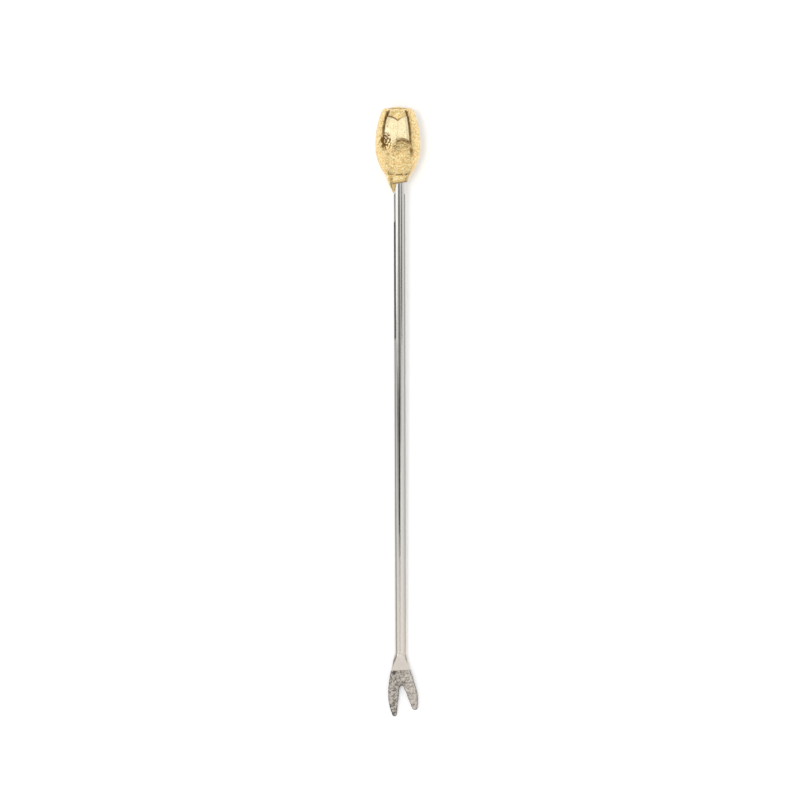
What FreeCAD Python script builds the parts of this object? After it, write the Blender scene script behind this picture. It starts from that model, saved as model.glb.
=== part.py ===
import FreeCAD, Part
import math
import os
import re

import Sketcher
from FreeCAD import Placement, Rotation, Vector

# Cocktail pick: a gilt brass bud finial on a polished steel stem whose other end is
# forged into a two-prong fork. Both pieces are drawn along Y, the bud towards +Y, and
# are then tipped together until the bud's belly and the stem's lower end lie on z = 0.

doc = FreeCAD.newDocument("cocktail_pick")
sheet = doc.addObject("Spreadsheet::Sheet", "Sizes")

# Driving sizes in millimetres and degrees. A drop is a distance down from the top of
# the bud, a fall one down from the edge that its note names, and a rise a distance up
# from the longer prong's tip.
SIZES = {
    "pick_length": (152.4, "top of the bud to the longer prong's tip"),
    "rod_diameter": (3.0, "round stem"),
    "rod_top_chamfer": (0.3, "lead-in at the end that sits in the bud"),
    "socket_drop": (11.0, "floor of the bud's blind socket"),
    "socket_clearance": (0.03, "glue gap round the stem and at the socket's floor"),
    "bud_shift": (0.33, "bud's axis to the left of the stem's axis"),
    "bud_height": (17.1, "top of the bud to the seam at its foot"),
    "bud_width": (11.5, "across the belly"),
    "belly_drop": (9.4, "widest ring of the bud"),
    "crown_radius": (2.4, "dome that shows inside the petals' tips"),
    "shoulder_drop": (2.1, "centre of the shoulder's rounding"),
    "shoulder_radius": (1.5, "rounding of the shoulder at the creases' floor"),
    "shoulder_angle": (21.0, "where the rounding meets the side, above level"),
    "petal_depth": (0.5, "outer petals over the creases' floor at the shoulder"),
    "crease_width": (0.4, "gap between two petals at the belly"),
    "crease_arc": (25.0, "side of the creases' floor"),
    "crease_end_drop": (13.5, "where the creases' floor is clear of the bud"),
    "crease_end_inset": (0.39, "floor there, in from the belly's radius"),
    "inner_petal_angle": (68.0, "span of each of the three inner petals"),
    "inner_petal_set_back": (0.2, "inner petals below the outer ones at the shoulder"),
    "inner_petal_arc": (23.6, "side of the inner petals"),
    "inner_petal_end_drop": (13.0, "where the set-back is clear of the bud"),
    "inner_petal_end_inset": (0.31, "set-back there, in from the belly's radius"),
    "outer_tip_drop": (0.25, "tip of the outer petals"),
    "outer_tip_fall": (0.9, "from their tip down to its rounded corners"),
    "outer_tip_half": (1.5, "half width of their rounded tip"),
    "inner_tip_drop": (2.3, "the two lobes of each inner petal's top edge"),
    "inner_tip_notch": (1.2, "depth of the notch between them"),
    "inner_lobe_radius": (4.5, "crown of the lobes"),
    "neck_radius": (3.2, "neck at the seam"),
    "seam_depth": (0.18, "notched seam between the bud and its neck"),
    "seam_half_width": (0.16, "half the seam's width at the surface"),
    "neck_waist_fall": (1.8, "from the seam down to where the neck is drawn in"),
    "neck_waist_radius": (2.4, "neck where it is drawn in"),
    "neck_waist_shift": (0.15, "drawn-in section to the left of the bud's axis"),
    "tongue_fall": (4.4, "from the seam to the tip of the tongue on the stem's left side"),
    "tongue_radius": (1.66, "outside of the tongue at its tip"),
    "tongue_edge": (1.35, "edge of the tongue to the left of the stem's axis"),
    "tongue_half_root": (2.0, "half width of the tongue where it leaves the collar"),
    "tongue_half_tip": (0.6, "half width of the tongue at its tip"),
    "collar_fall": (1.6, "from the seam to the collar's lower edge at its right side"),
    "collar_slant": (0.5, "how much lower that edge is at the tongue"),
    "fork_root_rise": (15.7, "where the stem starts to flare"),
    "fan_length": (4.1, "smooth fan between the stem and the hammered fork"),
    "fan_half_width": (2.42, "fan at the hammered fork"),
    "flat_half_height": (0.92, "half thickness at the end of the smooth flats"),
    "fork_half_height": (0.84, "half thickness at the start of the hammered fork"),
    "fork_overlap": (0.6, "hammered fork's root inside the fan"),
    "tip_half_height": (0.45, "half thickness at the prongs' tips"),
    "fork_edge_round": (0.3, "rounded edge of the fork"),
    "root_half_width": (2.2, "hammered fork's root inside the fan"),
    "left_out": (3.08, "left prong's widest point from the stem's axis"),
    "left_out_rise": (5.6, "height of that point"),
    "left_back_radius": (14.0, "left prong's edge from there to its tip"),
    "left_tip_radius": (0.5, "rounding of the left tip"),
    "crotch_rise": (7.6, "top of the gap between the prongs"),
    "crotch_radius": (0.68, "rounding of the gap's top"),
    "crotch_shift": (0.25, "its centre to the right of the stem's axis"),
    "right_out": (4.2, "right prong's widest point from the stem's axis"),
    "right_out_rise": (3.9, "height of that point"),
    "right_shoulder_radius": (12.5, "right prong's edge above that point"),
    "right_back_radius": (12.0, "right prong's edge from there to its tip"),
    "right_tip_rise": (1.55, "right tip above the left one"),
    "right_tip_radius": (0.55, "rounding of the right tip"),
}
for row, (alias, (number, note)) in enumerate(SIZES.items(), start=1):
    sheet.set(f"A{row}", alias)
    sheet.set(f"B{row}", str(number))
    sheet.setAlias(f"B{row}", alias)
    sheet.set(f"C{row}", note)

# Where the two pieces lie: worked out from their solids further down.
REST = ("rest_x", "rest_y", "rest_z", "rest_tilt")
for row, alias in enumerate(REST, start=len(SIZES) + 1):
    sheet.set(f"A{row}", alias)
    sheet.set(f"B{row}", "0")
    sheet.setAlias(f"B{row}", alias)
doc.recompute()


def size(text):
    """Writes an expression of the sheet's sizes so that any object can read it."""
    return re.sub(r"[a-z]+(_[a-z]+)+", r"Sizes.\g<0>", text)


def value(text):
    """The number that an expression of the sheet's sizes comes to."""
    return float(sheet.evalExpression(size(text)))


def bulge_radius(start, end, bulge):
    """Radius of the arc that stands a bulge clear of its chord."""
    across = f"(({end[0]})-({start[0]}))"
    along = f"(({end[1]})-({start[1]}))"
    return f"({across}*{across}+{along}*{along})/(8*({bulge}))+({bulge})/2"


def upright_radius(point, widest):
    """Radius of the arc from a point to the widest one, where it stands upright."""
    across = f"(({widest[0]})-({point[0]}))"
    along = f"(({widest[1]})-({point[1]}))"
    return f"({across}*{across}+{along}*{along})/(2*abs({across}))"


def bind(sketch, constraint, text):
    """Adds a dimension to a sketch and ties it to the sheet."""
    index = sketch.addConstraint(constraint)
    sketch.setExpression(f"Constraints[{index}]", size(text))


def draw_outline(sketch, corners):
    """Draws a closed outline. A corner is (x, y) for a straight edge to the next one,
    or (x, y, radius, turn) for an arc: turn is 1 counter-clockwise and -1 clockwise."""
    start, end = 1, 2
    joints = []
    for index, corner in enumerate(corners):
        following = corners[(index + 1) % len(corners)]
        p = Vector(value(corner[0]), value(corner[1]), 0)
        q = Vector(value(following[0]), value(following[1]), 0)
        if len(corner) == 2:
            geometry = sketch.addGeometry(Part.LineSegment(p, q))
            joints.append((geometry, start, end))
        else:
            radius = value(corner[2])
            turn = corner[3]
            chord = q - p
            reach = math.sqrt(radius**2 - (chord.Length / 2) ** 2)
            normal = Vector(-chord.y, chord.x, 0).normalize()
            centre = (p + q) * 0.5 + normal * reach * turn
            first, last = (p, q) if turn > 0 else (q, p)
            circle = Part.Circle(centre, Vector(0, 0, 1), radius)
            angles = [math.atan2(c.y - centre.y, c.x - centre.x) for c in (first, last)]
            geometry = sketch.addGeometry(Part.ArcOfCircle(circle, *angles))
            joints.append((geometry, start, end) if turn > 0 else (geometry, end, start))
            bind(sketch, Sketcher.Constraint("Radius", geometry, radius), corner[2])
        at = joints[-1][:2]
        bind(sketch, Sketcher.Constraint("DistanceX", -1, 1, *at, p.x), corner[0])
        bind(sketch, Sketcher.Constraint("DistanceY", -1, 1, *at, p.y), corner[1])
    for before, after in zip(joints, joints[1:] + joints[:1]):
        sketch.addConstraint(
            Sketcher.Constraint("Coincident", before[0], before[2], after[0], after[1])
        )


def plane(body, role):
    """One of a body's own origin planes."""
    features = body.Origin.OriginFeatures
    return next(feature for feature in features if feature.Role == role)


def body_sketch(body, name, role):
    """An empty sketch on one of the body's origin planes."""
    sketch = body.newObject("Sketcher::SketchObject", name)
    sketch.AttachmentSupport = [(plane(body, role), "")]
    sketch.MapMode = "FlatFace"
    return sketch


def lay(piece, along, across="0"):
    """Carries a piece to its place on the stem's axis and to the pose it rests in."""
    piece.setExpression(
        "Placement",
        "create(<<placement>>; create(<<vector>>; Sizes.rest_x; Sizes.rest_y; "
        "Sizes.rest_z); create(<<rotation>>; create(<<vector>>; 1; 0; 0); "
        "Sizes.rest_tilt)) * create(<<placement>>; create(<<vector>>; "
        f"{size(across)}; {size(along)}; 0); create(<<rotation>>; 0; 0; 0))",
    )


# Fork stem: one bar of steel. Its top enters the bud, and its other end is forged flat,
# split into two uneven prongs and rounded. Y is the rise from the longer prong's tip.
stem = doc.addObject("PartDesign::Body", "fork_stem")
stem.Label = "fork_stem"
ROD_RADIUS = "rod_diameter/2"
ROD_TOP = "(pick_length-socket_drop-socket_clearance)"
FAN_END = "(fork_root_rise-fan_length)"


def beyond(start, end, share):
    """The point that lies a share of the way from one point to another."""
    return tuple(f"({a}+(({b})-({a}))*{share})" for a, b in zip(start, end))


def from_centre(centre, radius, angle):
    """The point of a circle at an angle."""
    return (f"({centre[0]}+{radius}*cos({angle}))", f"({centre[1]}+{radius}*sin({angle}))")


def touching(centre, target, radii, side):
    """Angle at which a straight edge leaves one circle to touch another beyond it, or
    to meet a point, where radii is the sum of both circles' radii."""
    across = f"({target[0]}-({centre[0]}))"
    along = f"({target[1]}-({centre[1]}))"
    apart = f"sqrt({across}^2+{along}^2)"
    return f"(atan2({along}; {across})+({side})*acos(({radii})/{apart}))"


# Plan of the hammered fork: arcs and straight edges that run into each other without a
# corner. Each prong's edge stands upright where it is widest, and then turns into a
# round tip. Straight inner edges slant from the tips to the round top of the gap.
LEFT_BACK = ("(left_back_radius-left_out)", "left_out_rise")
LEFT_SLACK = "(left_back_radius-left_tip_radius)"
LEFT_TIP = (
    f"({LEFT_BACK[0]}-sqrt({LEFT_SLACK}^2-(left_out_rise-left_tip_radius)^2))",
    "left_tip_radius",
)
GAP = ("crotch_shift", "(crotch_rise-crotch_radius)")
RIGHT_BACK = ("(right_out-right_back_radius)", "right_out_rise")
RIGHT_SLACK = "(right_back_radius-right_tip_radius)"
RIGHT_TIP_HEIGHT = "(right_tip_rise+right_tip_radius)"
RIGHT_TIP = (
    f"({RIGHT_BACK[0]}+sqrt({RIGHT_SLACK}^2-(right_out_rise-{RIGHT_TIP_HEIGHT})^2))",
    RIGHT_TIP_HEIGHT,
)
LEFT_SLANT = touching(GAP, LEFT_TIP, "crotch_radius+left_tip_radius", -1)
RIGHT_SLANT = touching(GAP, RIGHT_TIP, "crotch_radius+right_tip_radius", 1)
left_root = ("-root_half_width", f"({FAN_END}+fork_overlap)")
left_widest = ("-left_out", "left_out_rise")
right_root = ("root_half_width", f"({FAN_END}+fork_overlap)")
right_widest = ("right_out", "right_out_rise")
RIGHT_SHOULDER = ("(right_out-right_shoulder_radius)", "right_out_rise")
SHOULDER_END = touching(RIGHT_SHOULDER, right_root, "right_shoulder_radius", -1)
fork_plan = body_sketch(stem, "fork_plan", "XY_Plane")
draw_outline(
    fork_plan,
    [
        (*left_root, upright_radius(left_root, left_widest), 1),
        (*left_widest, "left_back_radius", 1),
        (*beyond(LEFT_BACK, LEFT_TIP, f"left_back_radius/{LEFT_SLACK}"),
         "left_tip_radius", 1),
        from_centre(LEFT_TIP, "-left_tip_radius", LEFT_SLANT),
        (*from_centre(GAP, "crotch_radius", LEFT_SLANT), "crotch_radius", -1),
        from_centre(GAP, "crotch_radius", RIGHT_SLANT),
        (*from_centre(RIGHT_TIP, "-right_tip_radius", RIGHT_SLANT), "right_tip_radius", 1),
        (*beyond(RIGHT_BACK, RIGHT_TIP, f"right_back_radius/{RIGHT_SLACK}"),
         "right_back_radius", 1),
        (*right_widest, "right_shoulder_radius", 1),
        from_centre(RIGHT_SHOULDER, "right_shoulder_radius", SHOULDER_END),
        right_root,
    ],
)
fork_plate = stem.newObject("PartDesign::Pad", "fork_plate")
fork_plate.Profile = fork_plan
fork_plate.SideType = "Symmetric"
fork_plate.Length = 1
fork_plate.setExpression("Length", size(ROD_RADIUS + "*2"))


def strike(name, rises, half_heights, cleared):
    """Pockets both sides of the fork down to a wedge, given at its two ends."""
    sketch = body_sketch(stem, name + "_side", "YZ_Plane")
    for side in (1, -1):
        wedge = [
            (rises[0], f"{side}*{half_heights[0]}"),
            (rises[0], f"{side}*{cleared}"),
            (rises[1], f"{side}*{cleared}"),
            (rises[1], f"{side}*{half_heights[1]}"),
        ]
        draw_outline(sketch, wedge)
    pocket = stem.newObject("PartDesign::Pocket", name)
    pocket.Profile = sketch
    pocket.SideType = "Symmetric"
    pocket.Length = 1
    pocket.setExpression("Length", size("2*(left_out+right_out)"))
    return pocket


# The prongs thin from the fan to their tips.
fork_taper = strike(
    "fork_taper",
    (f"({FAN_END}+fork_overlap)", "0"),
    ("fork_half_height", "tip_half_height"),
    "rod_diameter",
)
doc.recompute()


def rim_edges(shape):
    """Edges round the two broad faces, short of the root that the fan buries."""
    buried = value(f"{FAN_END}+fork_overlap/2")
    names = []
    for number, edge in enumerate(shape.Edges, start=1):
        box = edge.BoundBox
        upright = box.ZLength > max(box.XLength, box.YLength)
        if not upright and box.YMax < buried:
            names.append(f"Edge{number}")
    return names


fork_rims = stem.newObject("PartDesign::Fillet", "fork_rims")
fork_rims.Base = (fork_taper, rim_edges(fork_taper.Shape))
fork_rims.Radius = 0.1
fork_rims.setExpression("Radius", size("fork_edge_round"))

# The round stem and the cone that it flares into, which two struck flats then thin.
rod_profile = body_sketch(stem, "rod_profile", "XY_Plane")
draw_outline(
    rod_profile,
    [
        ("0", FAN_END),
        ("fan_half_width", FAN_END),
        (ROD_RADIUS, "fork_root_rise"),
        (ROD_RADIUS, f"{ROD_TOP}-rod_top_chamfer"),
        (f"{ROD_RADIUS}-rod_top_chamfer", ROD_TOP),
        ("0", ROD_TOP),
    ],
)
rod = stem.newObject("PartDesign::Revolution", "rod")
rod.Profile = rod_profile
rod.ReferenceAxis = (rod_profile, ["V_Axis"])
rod.Angle = 360
# The flats run out where the flare starts, a quarter of their length short of the
# wedge's thick end.
fan_flats = strike(
    "fan_flats",
    ("(fork_root_rise+fan_length/4)", FAN_END),
    (f"({ROD_RADIUS}+({ROD_RADIUS}-flat_half_height)/4)", "flat_half_height"),
    "2*fan_half_width",
)
doc.recompute()


def section(name, corners, placement=Placement()):
    """A sketch by itself, drawn in XY and then carried to its plane."""
    sketch = doc.addObject("Sketcher::SketchObject", name)
    draw_outline(sketch, corners)
    sketch.Placement = placement
    return sketch


def turned(name, sketch, angle):
    """Turns a section about Y, evenly to both sides of where it was drawn."""
    solid = doc.addObject("Part::Revolution", name)
    solid.Source = sketch
    solid.Axis = Vector(0, 1, 0)
    solid.Solid = True
    solid.Symmetric = True
    solid.Angle = 360
    if angle:
        solid.setExpression("Angle", size(angle))
    return solid


def through(name, sketch, length, symmetric, direction=Vector(0, 0, 1)):
    """Extrudes an outline along a direction."""
    solid = doc.addObject("Part::Extrusion", name)
    solid.Base = sketch
    solid.DirMode = "Custom"
    solid.Dir = direction
    solid.LengthFwd = 1
    solid.setExpression("LengthFwd", size(length))
    solid.Solid = True
    solid.Symmetric = symmetric
    return solid


def combined(kind, name, **links):
    """A boolean of other objects."""
    result = doc.addObject(kind, name)
    for link, target in links.items():
        setattr(result, link, target)
    return result


# Bud finial: one casting. Its outer form is turned about Y, with the top of the bud at
# y = 0, and the petals are then carved out of it.
SHOULDER = "(shoulder_radius+petal_depth)"
BELLY = "bud_width/2"


def shoulder_point(radius):
    """Where a shoulder rounding of this radius meets the side of the bud."""
    return (
        f"crown_radius+{radius}*cos(shoulder_angle*1deg)",
        f"-shoulder_drop+{radius}*sin(shoulder_angle*1deg)",
    )


belly_point = (BELLY, "-belly_drop")
neck_point = ("neck_radius", "-bud_height")
petal_shoulder = shoulder_point(SHOULDER)
CROWN_FLOOR = "(shoulder_drop-shoulder_radius)"
bud_form = section(
    "bud_form",
    [
        ("0", "-bud_height"),
        (*neck_point, upright_radius(neck_point, belly_point), 1),
        (*belly_point, upright_radius(petal_shoulder, belly_point), 1),
        (*petal_shoulder, SHOULDER, 1),
        ("crown_radius", f"-shoulder_drop+{SHOULDER}"),
        ("crown_radius", f"-{CROWN_FLOOR}",
         f"(crown_radius*crown_radius+{CROWN_FLOOR}*{CROWN_FLOOR})/(2*{CROWN_FLOOR})", 1),
        ("0", "0"),
    ],
)
bud_blank = turned("bud_blank", bud_form, None)

# A carving section is drawn outwards in X and then faced to +Z, where the petal in
# front is carved. It runs from the crown to where its floor is clear of the bud.
FACE_FRONT = Placement(Vector(), Rotation(Vector(0, 1, 0), -90))


def carving(name, radius, arc, end_drop, end_inset):
    """Section of what is carved away down to a floor under the bud's outer form."""
    floor = shoulder_point(radius)
    clear = "bud_width"
    corners = [
        ("crown_radius", f"-shoulder_drop+{radius}"),
        ("crown_radius", clear),
        (clear, clear),
        (clear, f"-{end_drop}"),
        (f"{BELLY}-{end_inset}", f"-{end_drop}", arc, 1),
        (*floor, radius, 1),
    ]
    return section(name, corners, FACE_FRONT)


crease_section = carving(
    "crease_section", "shoulder_radius", "crease_arc", "crease_end_drop", "crease_end_inset"
)
inner_section = carving(
    "inner_section",
    "(shoulder_radius+petal_depth-inner_petal_set_back)",
    "inner_petal_arc",
    "inner_petal_end_drop",
    "inner_petal_end_inset",
)

# Above its top edge each petal is carved down to the creases' floor: the inner petals
# end in two lobes with a notch between them, and the outer ones in one round tip.
above_inner_tip = section(
    "above_inner_tip",
    [
        (f"-{BELLY}", "bud_width"),
        (f"-{BELLY}", "-inner_tip_drop-inner_tip_notch"),
        (f"-{BELLY}/2", "-inner_tip_drop", "inner_lobe_radius", -1),
        ("0", "-inner_tip_drop-inner_tip_notch", "inner_lobe_radius", -1),
        (f"{BELLY}/2", "-inner_tip_drop"),
        (BELLY, "-inner_tip_drop-inner_tip_notch"),
        (BELLY, "bud_width"),
    ],
)
TIP_CORNER = "(outer_tip_drop+outer_tip_fall)"
TIP_ENDS = (("-outer_tip_half", f"-{TIP_CORNER}"), ("outer_tip_half", f"-{TIP_CORNER}"))
above_outer_tip = section(
    "above_outer_tip",
    [
        (f"-{BELLY}", "bud_width"),
        (f"-{BELLY}", f"-{TIP_CORNER}-{BELLY}"),
        (*TIP_ENDS[0], bulge_radius(*TIP_ENDS, "outer_tip_fall"), -1),
        TIP_ENDS[1],
        (BELLY, f"-{TIP_CORNER}-{BELLY}"),
        (BELLY, "bud_width"),
    ],
)
above_inner = through("above_inner", above_inner_tip, "bud_width", False)
above_outer = through("above_outer", above_outer_tip, "bud_width", False)

CREASE_ANGLE = "(2*crease_width/bud_width*180/pi)"
OUTER_ANGLE = "(120-inner_petal_angle)"
crease = turned("crease", crease_section, CREASE_ANGLE)
set_back = turned("set_back", inner_section, "inner_petal_angle")
inner_span = turned("inner_span", crease_section, "inner_petal_angle")
outer_span = turned("outer_span", crease_section, OUTER_ANGLE)
inner_recess = combined("Part::Common", "inner_recess", Base=inner_span, Tool=above_inner)
outer_recess = combined("Part::Common", "outer_recess", Base=outer_span, Tool=above_outer)

# One inner petal faces the front. Three of each kind stand round the bud in turn.
carved = []
for turn in range(3):
    places = (
        (set_back, f"{120 * turn}"),
        (inner_recess, f"{120 * turn}"),
        (outer_recess, f"{120 * turn + 60}"),
        (crease, f"{120 * turn}+inner_petal_angle/2"),
        (crease, f"{120 * turn}-inner_petal_angle/2"),
    )
    for tool, angle in places:
        copy = doc.addObject("Part::Compound", f"{tool.Name}_copy")
        copy.Links = [tool]
        copy.Placement = Placement(Vector(), Rotation(Vector(0, 1, 0), 1))
        copy.setExpression("Placement.Rotation.Angle", size(angle))
        carved.append(copy)
all_carving = combined("Part::MultiFuse", "all_carving", Shapes=carved)
petals = combined("Part::Cut", "petals", Base=bud_blank, Tool=all_carving)


def ring(name, drop, shift, radius):
    """A level ring of the neck, to the right of the bud's axis by its shift."""
    circle = doc.addObject("Part::Circle", name)
    circle.Placement = Placement(Vector(0, -1, 0), Rotation(Vector(1, 0, 0), 90))
    circle.setExpression("Placement.Base.x", size(shift))
    circle.setExpression("Placement.Base.y", size(f"-{drop}"))
    circle.setExpression("Radius", size(radius))
    return circle


# The neck is drawn from the seam towards the stem's own axis, which it meets at the tip
# of the tongue. Its lower edge is cut short everywhere but at that tongue.
TONGUE_TIP = "(bud_height+tongue_fall)"
COLLAR_RIGHT = "(bud_height+collar_fall)"
COLLAR_LEFT = "(bud_height+collar_fall+collar_slant)"
CLEAR_BELOW = "(bud_height+tongue_fall+tongue_radius)"
neck_rings = [
    ring("neck_top", "bud_height", "0", "neck_radius"),
    ring("neck_waist", "(bud_height+neck_waist_fall)", "-neck_waist_shift",
         "neck_waist_radius"),
    ring("neck_end", TONGUE_TIP, "bud_shift", "tongue_radius"),
]
neck = combined("Part::Loft", "neck", Sections=neck_rings)
neck.Solid = True
neck.Ruled = True
TONGUE_SIDE = "(bud_shift-tongue_edge)"
below_collar = section(
    "below_collar",
    [
        (TONGUE_SIDE, f"-{COLLAR_LEFT}"),
        (TONGUE_SIDE, f"-{CLEAR_BELOW}"),
        ("bud_width", f"-{CLEAR_BELOW}"),
        ("bud_width", f"-{COLLAR_RIGHT}"),
        ("neck_radius", f"-{COLLAR_RIGHT}"),
    ],
)
collar_cut = through("collar_cut", below_collar, "bud_width", True)


def beside_tongue(name, side):
    """What is cut away beside the tongue, above it or below it in Z."""
    corners = [
        (f"{side}*tongue_half_root", f"-{COLLAR_LEFT}"),
        (f"{side}*tongue_half_tip", f"-{TONGUE_TIP}"),
        (f"{side}*tongue_half_tip", f"-{CLEAR_BELOW}"),
        (f"{side}*bud_width", f"-{CLEAR_BELOW}"),
        (f"{side}*bud_width", f"-{COLLAR_LEFT}"),
    ]
    outline = section(name, corners, FACE_FRONT)
    return through(f"{name}_cut", outline, "bud_width", True, Vector(1, 0, 0))


neck_cuts = combined(
    "Part::MultiFuse",
    "neck_cuts",
    Shapes=[collar_cut, beside_tongue("above_tongue", 1), beside_tongue("below_tongue", -1)],
)
trimmed_neck = combined("Part::Cut", "trimmed_neck", Base=neck, Tool=neck_cuts)

seam_notch = section(
    "seam_notch",
    [
        ("neck_radius-seam_depth", "-bud_height"),
        ("neck_radius+seam_depth", "-bud_height-2*seam_half_width"),
        ("neck_radius+seam_depth", "-bud_height+2*seam_half_width"),
    ],
)
seam = turned("seam", seam_notch, None)

socket = doc.addObject("Part::Cylinder", "socket")
socket.Placement = Placement(Vector(0, -1, 0), Rotation(Vector(1, 0, 0), 90))
socket.setExpression("Placement.Base.x", size("bud_shift"))
socket.setExpression("Placement.Base.y", size("-socket_drop"))
socket.setExpression("Radius", size(f"{ROD_RADIUS}+socket_clearance"))
socket.setExpression("Height", size(TONGUE_TIP))

casting = combined("Part::MultiFuse", "casting", Shapes=[petals, trimmed_neck])
hollows = combined("Part::MultiFuse", "hollows", Shapes=[seam, socket])
finial = combined("Part::Cut", "bud_finial", Base=casting, Tool=hollows)
finial.Label = "bud_finial"

# The pose at rest: the tilt at which the bud and the stem touch the same level, with
# the box's centre in plan over the origin. The stem touches just above the fork.
lay(finial, "pick_length/2", "-bud_shift")
lay(stem, "-pick_length/2")
doc.recompute()
MESH_STEP = 0.01
TIP_STEPS = 40
STEEPEST = 10.0


def skin(piece):
    """Points all over a piece, as it lies before it is tipped."""
    return piece.Shape.tessellate(MESH_STEP)[0]


def lowest(points, tilt):
    """Height of the lowest point once the pick is tipped about X."""
    lift = math.sin(math.radians(tilt))
    flat = math.cos(math.radians(tilt))
    return min(point.y * lift + point.z * flat for point in points)


bud_skin = skin(finial)
stem_skin = skin(stem)
low, high = -STEEPEST, STEEPEST
for step in range(TIP_STEPS):
    tilt = (low + high) / 2
    if lowest(bud_skin, tilt) < lowest(stem_skin, tilt):
        low = tilt
    else:
        high = tilt
tipped = Rotation(Vector(1, 0, 0), tilt)
resting = [tipped.multVec(point) for point in bud_skin + stem_skin]
sheet.set("rest_x", str(-(min(p.x for p in resting) + max(p.x for p in resting)) / 2))
sheet.set("rest_y", str(-(min(p.y for p in resting) + max(p.y for p in resting)) / 2))
sheet.set("rest_z", str(-min(p.z for p in resting)))
sheet.set("rest_tilt", str(tilt))
doc.recompute()

broken = [o.Name for o in doc.Objects if "Invalid" in o.State or "Error" in o.State]
if broken:
    raise SystemExit(f"these objects failed: {broken}")
os.makedirs("parts", exist_ok=True)
for piece in (finial, stem):
    shape = piece.Shape
    if shape.isNull() or not shape.isValid() or len(shape.Solids) != 1:
        raise SystemExit(f"{piece.Label} is not one sound solid")
for piece in (finial, stem):
    piece.Shape.exportStep(f"parts/{piece.Label}.step")
    print(piece.Label, f"{piece.Shape.Volume:.1f} cubic mm")
middle = stem.Placement.multVec(Vector(0, value("pick_length/2"), 0))
print(f"rests tipped by {tilt:.3f} degrees, with the stem's middle at {middle}")
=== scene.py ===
import math

import bmesh
import bpy
import numpy as np
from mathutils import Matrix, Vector


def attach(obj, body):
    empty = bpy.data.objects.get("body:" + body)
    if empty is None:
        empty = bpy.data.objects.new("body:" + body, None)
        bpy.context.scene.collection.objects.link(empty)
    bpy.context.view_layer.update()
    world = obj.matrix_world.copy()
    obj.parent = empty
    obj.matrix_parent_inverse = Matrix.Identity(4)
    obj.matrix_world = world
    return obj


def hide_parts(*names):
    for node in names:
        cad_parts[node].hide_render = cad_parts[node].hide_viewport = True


# A cocktail pick that lies on a white table: a round steel stem, forged at one end into
# two uneven prongs, and a gilt brass bud with three tall and three short petals that is
# glued over the stem's other end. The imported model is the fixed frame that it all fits.
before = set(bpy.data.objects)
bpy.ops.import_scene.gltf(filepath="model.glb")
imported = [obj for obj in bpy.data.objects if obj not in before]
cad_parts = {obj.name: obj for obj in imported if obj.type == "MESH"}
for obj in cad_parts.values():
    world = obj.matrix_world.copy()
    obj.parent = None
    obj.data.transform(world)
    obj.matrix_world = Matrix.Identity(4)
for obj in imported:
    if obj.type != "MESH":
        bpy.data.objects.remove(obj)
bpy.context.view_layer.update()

# Drawn stem. The bar is stainless steel, drawn round to 3 mm and polished. Its upper end
# sits in the bud, and its lower end runs into the forged fork. It is drawn along Y from
# the longer prong's tip, in millimetres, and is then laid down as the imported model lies.
PICK_LENGTH = 152.4
STEM_RADIUS = 1.5
STEM_MIDDLE = (0.33, 0.0013, 3.5196)
STEM_TILT = math.radians(1.914)
STEM_TOP = 141.3
STEM_START = 17.0
STEM_ROWS = 420
STEM_COLUMNS = 96
STEM_WAVE_DEPTH = 0.006
STEM_WAVE_WIDTH = 1.1
STEM_WAVE_STRETCH = 0.35
SATIN_START = 18.0
SATIN_END = 48.0


def lay_down(points):
    """Carries points from the drawn pick, in millimetres, to its place on the table."""
    x, y, z = np.moveaxis(np.asarray(points, float), -1, 0)
    rise = y - PICK_LENGTH / 2
    laid = (
        x + STEM_MIDDLE[0],
        rise * math.cos(STEM_TILT) - z * math.sin(STEM_TILT) + STEM_MIDDLE[1],
        rise * math.sin(STEM_TILT) + z * math.cos(STEM_TILT) + STEM_MIDDLE[2],
    )
    return np.stack(laid, axis=-1) / 1000


def lumps(points, width, seed):
    """Smooth lumps and hollows from 0 to 1, about as wide as given, the same each run."""
    spot = np.asarray(points, float) / width + seed * 17.3
    cell = np.floor(spot).astype(np.int64)
    within = spot - cell
    within = within * within * (3 - 2 * within)
    total = np.zeros(spot.shape[:-1])
    for corner in np.ndindex(2, 2, 2):
        near = cell + np.array(corner)
        mixed = near[..., 0] * 73856093 ^ near[..., 1] * 19349663 ^ near[..., 2] * 83492791
        mixed = (mixed ^ (mixed >> 13)) * 1274126177 & 0xFFFFFFFF
        height = ((mixed ^ (mixed >> 16)) & 0xFFFF) / 0xFFFF
        share = np.where(np.array(corner) == 1, within, 1 - within)
        total += height * share.prod(axis=-1)
    return total


def keep_finish(mesh, finish):
    """Keeps the shares of a finish at a mesh's points, where its material reads them."""
    for label, values in finish.items():
        kept = mesh.attributes.new(label, "FLOAT", "POINT")
        kept.data.foreach_set("value", values.astype(np.float32).ravel())


def skin_mesh(name, rows, finish):
    """A smooth mesh over rows of points that each close into a ring, with its finish."""
    count, columns, _ = rows.shape
    first = np.arange(count - 1)[:, None] * columns
    here = np.arange(columns)[None, :]
    beside = (here + 1) % columns
    faces = np.stack(
        (first + here, first + beside, first + columns + beside, first + columns + here),
        axis=-1,
    )
    mesh = bpy.data.meshes.new(name)
    mesh.from_pydata(lay_down(rows).reshape(-1, 3), [], faces.reshape(-1, 4).tolist())
    mesh.shade_smooth()
    keep_finish(mesh, finish)
    welding = bmesh.new()
    welding.from_mesh(mesh)
    bmesh.ops.remove_doubles(welding, verts=welding.verts, dist=1e-9)
    welding.to_mesh(mesh)
    welding.free()
    piece = bpy.data.objects.new(name, mesh)
    bpy.context.scene.collection.objects.link(piece)
    return piece


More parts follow.
